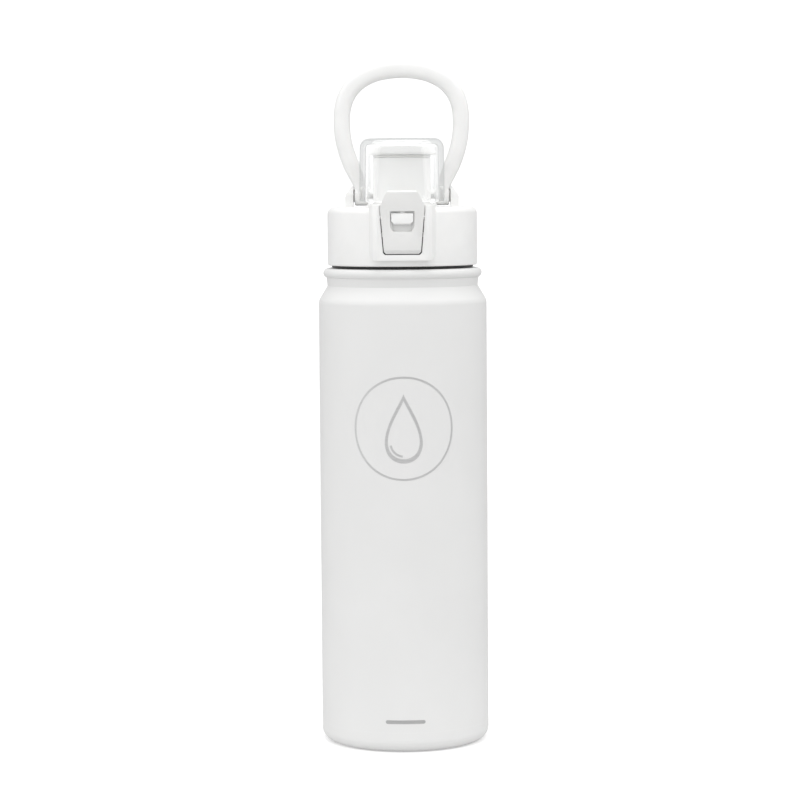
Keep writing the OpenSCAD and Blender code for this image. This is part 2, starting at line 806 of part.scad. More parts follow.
// Thumb slide that blocks the latch when it is pushed down
module lock_slide() {
    half_w = lock_w / 2;
    foot_cut = 1.4;
    ridge = 0.5;
    face_y = latch_front_y - 0.2;
    seat_y = latch_front_y + lock_depth - lock_web_gap;
    stem_w = 8.4;
    stem_z = lock_z + 0.7;
    stem_h = 2.8;
    stop_w = 2;
    back_y = latch_back_y + lock_web_gap;
    color(white_plastic) {
        intersection() {
            along_y(face_y, seat_y)
                polygon(mirrored([[half_w, lock_z + lock_h], [half_w, lock_z + foot_cut],
                                  [half_w - foot_cut, lock_z]]));
            along_x(-half_w - 1, half_w + 1)
                polygon([[seat_y + 1, lock_z], [face_y + ridge, lock_z], [face_y, lock_z + ridge],
                         [face_y + ridge, lock_z + lock_h - ridge], [face_y + 2 * ridge, lock_z + lock_h],
                         [seat_y + 1, lock_z + lock_h]]);
        }
        translate([-stem_w / 2, seat_y - 0.3, stem_z])
            cube([stem_w, back_y - seat_y + 0.6, stem_h]);
        translate([-stop_w / 2, seat_y - 0.3, stem_z])
            cube([stop_w, back_y - seat_y + 0.6, lock_top_z - lock_web_gap - stem_z]);
        translate([-lock_back_w / 2, back_y, lock_z - lock_back_drop])
            cube([lock_back_w, lock_back_t, lock_back_drop + lock_h]);
    }
}

// Two short pins that the latch rocks on, pressed into the housing
module latch_pins() {
    pin_in_x = pivot_lug_in_x + 0.2;
    pin_out_x = 12.7;
    color(steel)
        for (side = [0, 1])
            mirror([side, 0, 0])
                x_cylinder(pin_in_x, pin_out_x, pivot_y, pivot_z, pivot_pin_r);
}

// Leaf spring that pushes the foot of the latch outwards
module latch_spring() {
    leaf_w = 6;
    leaf_t = 0.25;
    leaf_r = 8.5;
    foot = [latch_back_y + 0.02, latch_z + 1.6];
    head_a = 40;
    mid = foot + [leaf_r, 0];
    color(steel)
        along_x(-leaf_w / 2, leaf_w / 2)
            polygon(concat(
                arc(mid, leaf_r, 180, 180 - head_a),
                reversed(arc(mid, leaf_r - leaf_t, 180, 180 - head_a))));
}

// Carry loop: an oval that narrows to two eyes on the hinge pin
module carry_loop() {
    half_w = loop_w / 2 - loop_t / 2;
    crown_gain = 0.12;
    top_z = hinge_z + loop_h - loop_t * (1 + crown_gain) / 2;
    wide_z = hinge_z + loop_h * 0.572;
    eye_x = (eye_in_x + eye_out_x) / 2;
    start_z = hinge_z + 0.8;
    leg = [[eye_x, start_z], [eye_x + 0.6, hinge_z + 9], [half_w + 0.85, hinge_z + 17.5], [half_w, wide_z]];
    crown = [[half_w, wide_z], [half_w, wide_z + 14.2], [half_w * 0.61, top_z], [0, top_z]];
    leg_steps = 14;
    crown_steps = 12;
    half = concat(
        [for (i = [0 : leg_steps - 1]) bezier(leg, i / leg_steps)],
        [for (i = [0 : crown_steps]) bezier(crown, i / crown_steps)]);
    other = [for (i = [len(half) - 2 : -1 : 0]) [-half[i][0], half[i][1]]];
    path = [for (p = concat(half, other)) [p[0], hinge_y, p[1]]];
    eye_taper = 0.68;
    taper_h = 12;
    squareness = 0.75;
    section = [for (a = [0 : 30 : 330])
        [sign(cos(a)) * pow(abs(cos(a)), squareness) * loop_t / 2,
         sign(sin(a)) * pow(abs(sin(a)), squareness) * loop_depth / 2]];
    rings = path_rings(path, section, [0, 1, 0]);
    tapered = [for (i = [0 : len(path) - 1])
        let (
            mid = path[i],
            leg_grow = eye_taper + (1 - eye_taper) * min(1, (mid[2] - start_z) / taper_h),
            grow = leg_grow + crown_gain * max(0, (mid[2] - wide_z) / (top_z - wide_z)))
        [for (p = rings[i]) [mid[0] + (p[0] - mid[0]) * grow, p[1], mid[2] + (p[2] - mid[2]) * grow]]];
    color(white_plastic)
        difference() {
            union() {
                skin(tapered);
                for (side = [0, 1])
                    mirror([side, 0, 0])
                        x_cylinder(eye_in_x, eye_out_x, hinge_y, hinge_z, eye_r);
            }
            x_cylinder(-ear_out_x, ear_out_x, hinge_y, hinge_z, bore_r);
        }
}

outer_shell();
outer_base();
vacuum_end_cap();
vacuum_seal();
getter();
inner_liner();
lid_gasket();
lid_core();
lid_foam();
lid_core_plate();
lid_cover();
spout();
spout_gasket();
hinge_pin();
loop_washers();
hood();
seal_carrier();
spout_plug();
hood_spring();
latch();
latch_pins();
latch_spring();
lock_slide();
carry_loop();
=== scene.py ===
"""The looks of an insulated water bottle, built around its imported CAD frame.

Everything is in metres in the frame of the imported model: the origin is the centre of the
foot, +Z is up, the latch faces -Y and the hinge of the hood is at +Y. Sizes that are
easier to read in millimetres are multiplied by MM.
"""

import json
import math
from functools import lru_cache

import bmesh
import bpy
from mathutils import Matrix, Vector


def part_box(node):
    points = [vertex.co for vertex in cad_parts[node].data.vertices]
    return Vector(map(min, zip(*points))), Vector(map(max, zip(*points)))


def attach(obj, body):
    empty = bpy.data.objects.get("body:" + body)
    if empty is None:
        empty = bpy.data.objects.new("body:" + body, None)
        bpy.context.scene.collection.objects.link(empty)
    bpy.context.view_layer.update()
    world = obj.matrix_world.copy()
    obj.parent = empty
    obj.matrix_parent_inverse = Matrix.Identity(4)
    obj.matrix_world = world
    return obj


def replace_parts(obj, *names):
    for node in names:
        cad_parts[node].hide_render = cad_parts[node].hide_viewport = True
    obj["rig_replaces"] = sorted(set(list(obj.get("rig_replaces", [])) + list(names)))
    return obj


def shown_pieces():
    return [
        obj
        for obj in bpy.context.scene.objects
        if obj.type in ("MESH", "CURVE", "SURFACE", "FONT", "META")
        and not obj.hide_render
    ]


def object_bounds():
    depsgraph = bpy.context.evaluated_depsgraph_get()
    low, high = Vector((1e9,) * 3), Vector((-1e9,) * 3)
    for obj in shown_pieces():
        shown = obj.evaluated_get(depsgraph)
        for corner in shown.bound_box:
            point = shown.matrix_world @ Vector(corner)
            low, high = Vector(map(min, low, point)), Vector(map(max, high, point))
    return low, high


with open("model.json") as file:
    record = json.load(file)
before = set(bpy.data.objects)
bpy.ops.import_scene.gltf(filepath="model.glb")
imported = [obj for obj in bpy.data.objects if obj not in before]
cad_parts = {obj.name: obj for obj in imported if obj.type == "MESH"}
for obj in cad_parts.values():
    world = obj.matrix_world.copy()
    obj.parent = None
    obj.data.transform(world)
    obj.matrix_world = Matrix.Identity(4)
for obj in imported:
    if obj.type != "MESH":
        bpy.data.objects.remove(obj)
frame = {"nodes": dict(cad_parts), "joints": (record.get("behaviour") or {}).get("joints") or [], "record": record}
CAD_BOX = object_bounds()

MM = 0.001

RECORD = frame["record"]
SLOT_OF = {part["node"]: part["material_slot"] for part in RECORD["subparts"]}
BODY_OF = {node: body for body, nodes in RECORD["behaviour"]["bodies"].items() for node in nodes}
JOINTS = {joint["name"]: joint for joint in frame["joints"]}

# Places taken from the frame
HINGE = Vector(JOINTS["hood_open"]["pos_m"])
BODY_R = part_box("outer_shell")[1].x
NECK_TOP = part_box("outer_shell")[1].z
LATCH_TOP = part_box("latch")[1].z

# The powder coat ends at the foot of the neck, this far under the mouth
BARE_NECK_H = 16.8 * MM

# The hood's knuckles and the loop's eyes turn on the hinge pin with this bore
PIN_BORE_R = 1.56 * MM

# Base colours
WHITE_COAT = (0.773, 0.773, 0.768)
WHITE_PLASTIC = (0.87, 0.87, 0.862)
# The latch's white plastic, painted darker as painted shade over the latch
SHADED_LATCH_PLASTIC = (0.78, 0.78, 0.77)
# The neck's real bare steel, painted darker than the other steel as painted shade in the gap under the lid
SHADED_NECK_STEEL = (0.34, 0.32, 0.30)

# Clear plastic: what one surface lets through, face-on and edge-on, and what the wall takes away
FACE_TINT = (0.985, 0.987, 0.986, 1.0)
EDGE_TINT = (0.66, 0.675, 0.67, 1.0)
LIGHT_TINT = (0.985, 0.985, 0.985, 1.0)
WALL_COLOUR = (0.82, 0.84, 0.833, 1.0)
WALL_DENSITY = 8.0
# Reflections in the clear walls are lifted, and their share is held down
EDGE_SHINE = (1.3, 1.3, 1.3, 1.0)
MOST_SHINE = 0.6

# Brightness of the surroundings just under the horizon and straight above
WORLD_LOW = 0.6
WORLD_HIGH = 1.12

# The floor as the camera sees it
FLOOR_WHITE = (0.93, 0.93, 0.93, 1.0)
FLOOR_GLOW = 0.22

# The floor as it lights the bottle: greyer, with a glow that fades between two distances from the foot
FLOOR_BOUNCE = (0.56, 0.56, 0.56, 1.0)
FOOT_GLOW = 0.22
NEAR_FLOOR, FAR_FLOOR = 0.06, 0.32


# ---------------------------------------------------------------- shader helpers

def add(tree, kind, inputs=None, **settings):
    """A shader node with its settings and inputs; an input is a value or another node's socket."""
    node = tree.nodes.new(kind)
    for key, value in settings.items():
        setattr(node, key, value)
    for key, value in (inputs or {}).items():
        if isinstance(value, bpy.types.NodeSocket):
            tree.links.new(value, node.inputs[key])
        else:
            node.inputs[key].default_value = value
    return node


def new_material(name):
    material = bpy.data.materials.new(name)
    material.use_nodes = True
    tree = material.node_tree
    tree.nodes.clear()
    output = add(tree, "ShaderNodeOutputMaterial")
    return material, tree, output


def object_coords(tree):
    return add(tree, "ShaderNodeTexCoord").outputs["Object"]


def noise(tree, coords, cell, detail, roughness):
    """Noise whose lumps are about cell metres across, from 0 to 1."""
    settings = {"Vector": coords, "Scale": 1 / cell, "Detail": detail, "Roughness": roughness}
    return add(tree, "ShaderNodeTexNoise", settings).outputs["Fac"]


def ramp(tree, value, low, high, out_low, out_high):
    """Value from low..high carried over to out_low..out_high and held at its ends."""
    settings = {"Value": value, "From Min": low, "From Max": high,
                "To Min": out_low, "To Max": out_high}
    return add(tree, "ShaderNodeMapRange", settings).outputs["Result"]


def centred(tree, value, out_low, out_high, spread=0.25):
    """The middle of a noise, within spread of one half, stretched over out_low..out_high."""
    return ramp(tree, value, 0.5 - spread, 0.5 + spread, out_low, out_high)


def math_node(tree, operation, a, b):
    return add(tree, "ShaderNodeMath", {0: a, 1: b}, operation=operation).outputs[0]


def mix_colour(tree, factor, a, b):
    """a where factor is 0 and b where it is 1."""
    node = add(tree, "ShaderNodeMix", data_type="RGBA")
    for socket, value in ((node.inputs[0], factor), (node.inputs[6], a), (node.inputs[7], b)):
        if isinstance(value, bpy.types.NodeSocket):
            tree.links.new(value, socket)
        else:
            socket.default_value = value
    return node.outputs[2]


def edge_mask(tree, radius):
    """1 on convex and concave edges, 0 on open faces."""
    bevel = add(tree, "ShaderNodeBevel", {"Radius": radius}, samples=4).outputs["Normal"]
    normal = add(tree, "ShaderNodeNewGeometry").outputs["Normal"]
    dot = add(tree, "ShaderNodeVectorMath", {0: bevel, 1: normal}, operation="DOT_PRODUCT")
    return ramp(tree, dot.outputs["Value"], 0.995, 0.88, 0.0, 1.0)


def bump(tree, height, depth, strength=1.0):
    settings = {"Height": height, "Distance": depth, "Strength": strength}
    return add(tree, "ShaderNodeBump", settings).outputs[0]


def shade(colour, factor):
    """The colour made lighter or darker, as an opaque one."""
    return tuple(min(1.0, c * factor) for c in colour[:3]) + (1.0,)


def mottled(tree, colour, pattern, dark, light):
    """The colour, drifting between two shades of it with a noise pattern."""
    share = centred(tree, pattern, 0.0, 1.0, 0.2)
    return mix_colour(tree, share, shade(colour, dark), shade(colour, light))


# ---------------------------------------------------------------- materials

def moulded(name, colour, roughness=0.42, grain=0.35 * MM, depth=0.012 * MM,
            scatter=0.06, sheen=0.0):
    """Moulded plastic or silicone: fine grain, faint flow clouds, glossier edges and a painted highlight that
    lightens the edges.
    """
    material, tree, output = new_material(name)
    coords = object_coords(tree)
    fine = noise(tree, coords, grain, 3.0, 0.6)
    flow = noise(tree, coords, 14 * MM, 3.0, 0.55)
    rub = noise(tree, coords, 3.2 * MM, 4.0, 0.65)
    edges = edge_mask(tree, 0.7 * MM)
    tone = mottled(tree, colour, flow, 0.975, 1.012)
    # The edges are painted lighter: a painted highlight where they catch the light
    highlit_edges = mix_colour(tree, math_node(tree, "MULTIPLY", edges, 0.5), tone, shade(colour, 1.05))
    matt = centred(tree, rub, roughness - 0.05, roughness + 0.06)
    gloss = math_node(tree, "MULTIPLY", edges, -0.1)
    shader = add(tree, "ShaderNodeBsdfPrincipled", {
        "Base Color": highlit_edges,
        "Roughness": math_node(tree, "ADD", matt, gloss),
        "IOR": 1.49,
        "Specular IOR Level": 0.42,
        "Subsurface Weight": scatter,
        "Subsurface Radius": (1.0, 0.9, 0.8),
        "Subsurface Scale": 1.2 * MM,
        "Sheen Weight": sheen,
        "Normal": bump(tree, fine, depth),
    })
    tree.links.new(shader.outputs[0], output.inputs["Surface"])
    return material


def coated_steel(name, colour, bare_above):
    """Satin powder coat with orange peel; the steel is bare above the height bare_above, and painted dark there as
    painted shade for the gap under the lid.
    """
    material, tree, output = new_material(name)
    coords = object_coords(tree)
    peel = noise(tree, coords, 0.95 * MM, 2.0, 0.45)
    grit = noise(tree, coords, 0.28 * MM, 2.0, 0.5)
    cloud = noise(tree, coords, 34 * MM, 3.0, 0.5)
    patch = noise(tree, coords, 6 * MM, 4.0, 0.6)
    relief = math_node(tree, "ADD", math_node(tree, "MULTIPLY", peel, 0.75),
                       math_node(tree, "MULTIPLY", grit, 0.25))
    edges = edge_mask(tree, 0.6 * MM)
    tone = mottled(tree, colour, cloud, 0.985, 1.01)
    # The edges are painted lighter: a painted highlight where they catch the light
    highlit_edges = mix_colour(tree, math_node(tree, "MULTIPLY", edges, 0.35), tone, shade(colour, 1.04))
    coat = add(tree, "ShaderNodeBsdfPrincipled", {
        "Base Color": highlit_edges,
        "Roughness": centred(tree, patch, 0.43, 0.53),
        "IOR": 1.5,
        "Specular IOR Level": 0.38,
        "Normal": bump(tree, relief, 0.02 * MM),
    })
    height = add(tree, "ShaderNodeSeparateXYZ", {0: coords}).outputs["Z"]
    fade = 0.1 * MM
    bare = ramp(tree, height, bare_above - fade, bare_above + fade, 0.0, 1.0)
    # The bare neck steel, painted dark as painted shade for the gap under the lid
    metal = steel_shader(tree, SHADED_NECK_STEEL)
    mixed = add(tree, "ShaderNodeMixShader", {0: bare, 1: coat.outputs[0], 2: metal})
    tree.links.new(mixed.outputs[0], output.inputs["Surface"])
    return material


def steel_shader(tree, colour, roughness=0.3, squeeze=(1.0, 1.0, 26.0)):
    """Drawn or turned steel: its pattern is squeezed along an axis into fine lines that cross it."""
    coords = object_coords(tree)
    squeezed = add(tree, "ShaderNodeMapping", {"Vector": coords, "Scale": squeeze}).outputs[0]
    lines = noise(tree, squeezed, 3.5 * MM, 4.0, 0.6)
    smear = noise(tree, coords, 9 * MM, 3.0, 0.55)
    shader = add(tree, "ShaderNodeBsdfPrincipled", {
        "Base Color": mottled(tree, colour, lines, 0.9, 1.08),
        "Metallic": 1.0,
        "Roughness": centred(tree, smear, roughness - 0.06, roughness + 0.07, 0.2),
        "Normal": bump(tree, lines, 0.006 * MM),
    })
    return shader.outputs[0]


def steel(name, colour, roughness=0.3, squeeze=(1.0, 1.0, 26.0)):
    material, tree, output = new_material(name)
    tree.links.new(steel_shader(tree, colour, roughness, squeeze), output.inputs["Surface"])
    return material


def clear_plastic(name):
    """Clear copolyester: rays go straight on and fade along the wall and where it is seen edge-on."""
    material, tree, output = new_material(name)
    coords = object_coords(tree)
    ripple = noise(tree, coords, 9 * MM, 1.5, 0.4)
    scuff = noise(tree, coords, 1.1 * MM, 5.0, 0.7)
    relief = bump(tree, ripple, 0.02 * MM, 0.5)
    polish = ramp(tree, scuff, 0.45, 0.8, 0.02, 0.12)
    facing = add(tree, "ShaderNodeLayerWeight", {"Blend": 0.5, "Normal": relief}).outputs["Facing"]
    depth = math_node(tree, "POWER", facing, 4.0)
    path = add(tree, "ShaderNodeLightPath").outputs["Is Camera Ray"]
    tint = mix_colour(tree, path, LIGHT_TINT, mix_colour(tree, depth, FACE_TINT, EDGE_TINT))
    through = add(tree, "ShaderNodeBsdfTransparent", {"Color": tint})
    shine = add(tree, "ShaderNodeBsdfGlossy",
                {"Color": EDGE_SHINE, "Roughness": polish, "Normal": relief})
    fresnel = add(tree, "ShaderNodeFresnel", {"IOR": 1.45, "Normal": relief}).outputs[0]
    share = math_node(tree, "MINIMUM", fresnel, MOST_SHINE)
    seen = math_node(tree, "MULTIPLY", share, path)
    clear = add(tree, "ShaderNodeMixShader", {0: seen, 1: through.outputs[0], 2: shine.outputs[0]})
    body = add(tree, "ShaderNodeVolumeAbsorption", {"Color": WALL_COLOUR, "Density": WALL_DENSITY})
    tree.links.new(clear.outputs[0], output.inputs["Surface"])
    tree.links.new(body.outputs[0], output.inputs["Volume"])
    return material


# A finish for each material slot, and three for the pieces that differ from their slot; the latch's is its white
# plastic painted darker, as painted shade
MATERIALS = {
    "white_coat": coated_steel("powder_coat", WHITE_COAT, NECK_TOP - BARE_NECK_H),
    "steel": steel("brushed_steel", (0.56, 0.56, 0.57)),
    "polished_steel": steel("drawn_steel", (0.66, 0.66, 0.67), 0.2, (26.0, 1.0, 1.0)),
    "white_plastic": moulded("satin_plastic", WHITE_PLASTIC),
    "dark_plastic": moulded("dark_satin_plastic", (0.03, 0.03, 0.032), 0.45),
    "white_seal": moulded("silicone", (0.82, 0.82, 0.80), 0.55, 0.25 * MM, 0.006 * MM, 0.12, 0.1),
    "clear_plastic": clear_plastic("clear_copolyester"),
    "foam": moulded("closed_cell_foam", (0.80, 0.77, 0.66), 0.8, 0.9 * MM, 0.12 * MM, 0.05),
    "solder": steel("dull_solder", (0.30, 0.30, 0.31), 0.5, (1.0, 1.0, 1.0)),
    "laser_etch": steel("laser_etched_steel", (0.50, 0.50, 0.50), 0.42, (1.0, 1.0, 40.0)),
    "pale_etch": steel("lightly_etched_steel", (0.68, 0.68, 0.68), 0.42, (1.0, 1.0, 40.0)),
    # The white plastic painted darker: painted shade over the latch
    "latch_in_painted_shade": moulded("satin_plastic_in_painted_shade", SHADED_LATCH_PLASTIC),
}

# Nodes whose finish differs a little from the rest of their slot: the latch's plastic is painted darker, as
# painted shade
LOOK_OF = {"latch": "latch_in_painted_shade"}


# ---------------------------------------------------------------- mesh helpers

def mesh_object(name, bm):
    mesh = bpy.data.meshes.new(name)
    bm.to_mesh(mesh)
    bm.free()
    piece = bpy.data.objects.new(name, mesh)
    bpy.context.scene.collection.objects.link(piece)
    return piece


def bake(piece):
    """Applies the modifiers."""
    bpy.context.view_layer.update()
    graph = bpy.context.evaluated_depsgraph_get()
    baked = bpy.data.meshes.new_from_object(piece.evaluated_get(graph))
    piece.modifiers.clear()
    piece.data = baked
    return piece


def smooth(piece, angle=35.0):
    """Smooth shading that stays crisp on edges sharper than the angle."""
    mesh = piece.data
    mesh.polygons.foreach_set("use_smooth", [True] * len(mesh.polygons))
    mesh.set_sharp_from_angle(angle=math.radians(angle))
    mesh.update()
    return piece


def combine(piece, others, operation="UNION"):
    """A boolean of the piece with the others, which are used up."""
    for other in others:
        modifier = piece.modifiers.new("join", "BOOLEAN")
        modifier.operation = operation
        modifier.solver = "EXACT"
        modifier.object = other
    bake(piece)
    for other in others:
        bpy.data.objects.remove(other)
    return piece


def soften(piece, width):
    """Rounds the piece's sharp edges."""
    modifier = piece.modifiers.new("round", "BEVEL")
    modifier.width = width
    modifier.segments = 3
    modifier.limit_method = "ANGLE"
    modifier.angle_limit = math.radians(28)
    modifier.use_clamp_overlap = True
    return bake(piece)


def dress(piece, node):
    """Gives the piece its finish and lets it ride with, and stand for, the CAD node."""
    slot = SLOT_OF[node]
    piece.data.materials.clear()
    piece.data.materials.append(MATERIALS[LOOK_OF.get(node, slot)])
    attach(piece, BODY_OF[node])
    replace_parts(piece, node)
    return piece


def rings_mesh(rings, closed_row=False):
    """A skin over a row of rings of points, capped at both ends unless the row closes on itself."""
    bm = bmesh.new()
    rows = [[bm.verts.new(p) for p in ring] for ring in rings]
    pairs = list(zip(rows, rows[1:]))
    if closed_row:
        pairs.append((rows[-1], rows[0]))
    for low, high in pairs:
        count = len(low)
        for j in range(count):
            k = (j + 1) % count
            bm.faces.new((low[j], low[k], high[k], high[j]))
    if not closed_row:
        bm.faces.new(list(reversed(rows[0])))
        bm.faces.new(rows[-1])
    bmesh.ops.recalc_face_normals(bm, faces=bm.faces)
    return bm


def arc(mid, radius, start, end, steps):
    """Points along an arc, with angles in degrees."""
    angles = [math.radians(start + (end - start) * i / steps) for i in range(steps + 1)]
    return [(mid[0] + radius * math.cos(a), mid[1] + radius * math.sin(a)) for a in angles]


def round_corners(corners):
    """A closed outline whose corners (x, y, radius) are replaced by arcs."""
    steps = 6
    outline = []
    count = len(corners)
    for i, (x, y, radius) in enumerate(corners):
        here = Vector((x, y))
        if radius <= 0:
            outline.append(here)
            continue
        before = (Vector(corners[i - 1][:2]) - here).normalized()
        after = (Vector(corners[(i + 1) % count][:2]) - here).normalized()
        half = before.angle(after) / 2
        reach = radius / math.tan(half)
        mid = here + (before + after).normalized() * (radius / math.sin(half))
        start = here + before * reach - mid
        turn = (math.pi - 2 * half) * (1 if start.x * before.y - start.y * before.x < 0 else -1)
        for k in range(steps + 1):
            a = turn * k / steps
            spoke = Vector((start.x * math.cos(a) - start.y * math.sin(a),
                            start.x * math.sin(a) + start.y * math.cos(a)))
            outline.append(mid + spoke)
    return outline


def revolve(name, profile, segments):
    """A solid of revolution about the Z axis; profile is a closed outline of (radius, z)."""
    rings = []
    for i in range(segments):
        a = math.tau * i / segments
        rings.append([(r * math.cos(a), r * math.sin(a), z) for r, z in profile])
    bm = rings_mesh(rings, closed_row=True)
    bmesh.ops.remove_doubles(bm, verts=bm.verts, dist=1e-7)
    return mesh_object(name, bm)


def x_disc(name, x0, x1, centre, radius, bore, edge):
    """A bored disc or bush about an axis along X, with rounded outer edges."""
    profile = [(bore, x0), (bore, x1)]
    profile += arc((radius - edge, x1 - edge), edge, 90, 0, 4)
    profile += arc((radius - edge, x0 + edge), edge, 0, -90, 4)
    piece = revolve(name, profile, 96)
    turn = Matrix(((0, 0, 1), (0, 1, 0), (-1, 0, 0))).to_4x4()
    piece.data.transform(Matrix.Translation((0, centre.y, centre.z)) @ turn)
    return piece


def sweep_rings(path, section_at, side):
    """Rings of a section carried along a path. Its second direction stays along side."""
    rings = []
    for i, point in enumerate(path):
        along = (path[min(i + 1, len(path) - 1)] - path[max(i - 1, 0)]).normalized()
        across = side.cross(along).normalized()
        up = along.cross(across)
        rings.append([point + across * u + up * v for u, v in section_at(i)])
    return rings


def bezier(p, t):
    """The point at share t of the curve with the four control points p."""
    return ((1 - t) ** 3 * p[0] + 3 * (1 - t) ** 2 * t * p[1]
            + 3 * (1 - t) * t * t * p[2] + t ** 3 * p[3])


# ---------------------------------------------------------------- pieces from the CAD nodes

def refined(node, width):
    """The CAD node's shape with its facets merged and its moulded edges rounded."""
    bm = bmesh.new()
    bm.from_mesh(frame["nodes"][node].data)
    bmesh.ops.remove_doubles(bm, verts=bm.verts, dist=2e-6)
    bmesh.ops.dissolve_limit(bm, angle_limit=math.radians(0.6), verts=bm.verts, edges=bm.edges)
    piece = mesh_object(node + "_moulding", bm)
    soften(piece, width)
    return dress(smooth(piece), node)


def carried_over(node):
    """A CAD node that is shown as it is, with its finish."""
    piece = frame["nodes"][node]
    for index in range(len(piece.data.materials)):
        piece.data.materials[index] = MATERIALS[SLOT_OF[node]]


# ---------------------------------------------------------------- clear hood

def build_hood():
    """Clear hood: a drafted box with a bowed front, a recess over the latch and two knuckles.

    Sizes are in millimetres until the points of a ring are made.
    """
    low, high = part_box("hood")
    half_w = high.x / MM
    top = high.z / MM
    rim_z = HINGE.z / MM - 2.7
    front_low = 30.4
    front_top = 25.0
    wall = 2.4
    back_y = HINGE.y / MM - 1.8
    back_half_w = 14.5
    narrow_y = 13.0
    wide_y = -1.0
    draft = 0.4
    roof_r = 4.0
    corner_r, least_corner_r = 5.0, 1.2
    side_r, waist_r, heel_r = 12, 5, 2.6
    back_reach, heel_gap = 10, 3
    rim_r, rim_h = 0.5, 1.2
    arch_depth = 1.2
    arch_top = LATCH_TOP / MM + 1.2
    arch_foot = rim_z + rim_h
    arch_half_w = 11.5
    arch_back_y = -20
    notch_half_w = 9.1
    notch_edge = 0.3
    notch_top = HINGE.z / MM + 5.3
    step_h = 0.35
    knuckle_in, knuckle_out, knuckle_r = 9.1, 14.5, 4.0
    catch_half_w, catch_t, catch_gap, catch_back_y = 4.5, 1.6, 0.15, -27.4
    hook_z = LATCH_TOP / MM - 2.6
    crease = 0.08
    lip, lip_rest = 0.3, 0.1
    # Columns from the middle to the side, closest together on the flank of the recess
    front_x = [0, 2, 4, 5.4, 6.2, 6.8, 7.4, 7.9, 8.4, 8.8, 9.2, 9.6, 10, 10.4, 10.8, 11.2, 11.6, 12.2]
    back_x = [9.6, 9.3, 9.0, 8.7, 7, 3.5, 0]

    @lru_cache(maxsize=None)
    def outline(z, inset):
        """The hood seen from above, cut at a height and moved inwards."""
        share = (z - rim_z) / (top - rim_z)
        side = half_w - inset - draft * share
        radius = front_low + (front_top - front_low) * share - inset
        back_side = back_half_w - inset
        back = back_y - inset
        bend = max(corner_r - inset, least_corner_r)
        squash = min(1.0, (back_side - heel_gap) / back_reach)

        def bow(x):
            return -math.sqrt(radius * radius - x * x)

        corners = [(x, bow(x), 0) for x in front_x]
        corners.append((side, bow(side), bend))
        corners += [(side, wide_y, side_r), (back_side, narrow_y, waist_r)]
        corners.append((back_side, back, heel_r - inset * 0.6))
        corners += [(x * squash, back, 0) for x in back_x]
        return round_corners(corners + [(-x, y, r) for x, y, r in reversed(corners[1:-1])])

    base = outline(rim_z, 0.0)

    def arch_at(x, y):
        """Height of the recess's edge and its depth, for a column of the wall."""
        if y > arch_back_y or abs(x) > arch_half_w:
            return arch_foot, 0.0
        # The recess's edge from the middle outwards: level, over the shoulder, down to the rim
        flank = [(0, arch_top), (6.4, arch_top), (7.4, arch_top - 0.25), (8.4, arch_top - 1.1),
                 (11.2, arch_foot + 0.1), (arch_half_w, arch_foot)]
        for (xa, za), (xb, zb) in zip(flank, flank[1:]):
            if abs(x) <= xb + 1e-6:
                return za + (zb - za) * (abs(x) - xa) / (xb - xa), arch_depth
        return arch_foot, 0.0

    def rim_at(x, y):
        """Height of the lower rim, which is raised between the knuckles."""
        if y < back_y - 0.5 or abs(x) > notch_half_w + notch_edge:
            return rim_z
        return notch_top if abs(x) < notch_half_w else (rim_z + notch_top) / 2

    columns = [(p.x, p.y) for p in base]
    arches = [arch_at(x, y) for x, y in columns]
    rims = [rim_at(x, y) for x, y in columns]

    def ring(z_of, inset_of):
        """One point for each column, at the height and the inset that the functions give."""
        points = []
        for i in range(len(columns)):
            z = round(z_of(i), 4)
            p = outline(z, round(inset_of(i), 4))[i]
            points.append((p.x * MM, p.y * MM, z * MM))
        return points

    def above(i):
        """Where the plain wall starts over the recess or the notch."""
        return max(arches[i][0], rims[i] + rim_h)

    def wall_rings(inset):
        """From just over the recess and the notch up to the bend of the roof."""
        steps = 7
        stop = top - roof_r
        rows = []
        for k in range(steps + 1):
            share = k / steps
            rows.append(ring(lambda i: (above(i) + step_h) * (1 - share) + stop * share,
                             lambda i: inset))
        return rows

    def roof_rings(inset):
        """Over the bend and in towards the middle of the roof."""
        radius = roof_r - inset
        ceiling = top - inset
        rows = []
        for a in range(10, 91, 10):
            turn = math.radians(a)
            rise = ceiling - radius + radius * math.sin(turn)
            rows.append(ring(lambda i: rise, lambda i: inset + radius * (1 - math.cos(turn))))
        edge = rows[-1]
        mid = Vector((0, sum(p[1] for p in edge) / len(edge), ceiling * MM))
        for share in (0.7, 0.35, 0.08):
            rows.append([tuple(mid + (Vector(p) - mid) * share) for p in edge])
        return rows

    def depth(i):
        """How far the recess lies behind the plain wall."""
        return arches[i][1]

    outer = [
        ring(lambda i: rims[i], lambda i: depth(i) + rim_r),
        ring(lambda i: rims[i] + rim_r * 0.3, lambda i: depth(i) + rim_r * 0.3),
        ring(lambda i: rims[i] + rim_r, depth),
        ring(lambda i: above(i) - step_h, depth),
        ring(lambda i: above(i) - crease, depth),
        ring(above, lambda i: max(depth(i) - crease, 0)),
        ring(above, lambda i: min(depth(i), lip)),
        ring(lambda i: above(i) + lip_rest, lambda i: min(depth(i), lip_rest)),
    ] + wall_rings(0.0) + roof_rings(0.0)
    inner = [
        ring(lambda i: rims[i], lambda i: wall - rim_r),
        ring(lambda i: rims[i] + rim_r * 0.3, lambda i: wall - rim_r * 0.3),
        ring(lambda i: rims[i] + rim_r, lambda i: wall),
    ] + wall_rings(wall) + roof_rings(wall)
    shell = mesh_object("clear_hood", rings_mesh(list(reversed(inner)) + outer))

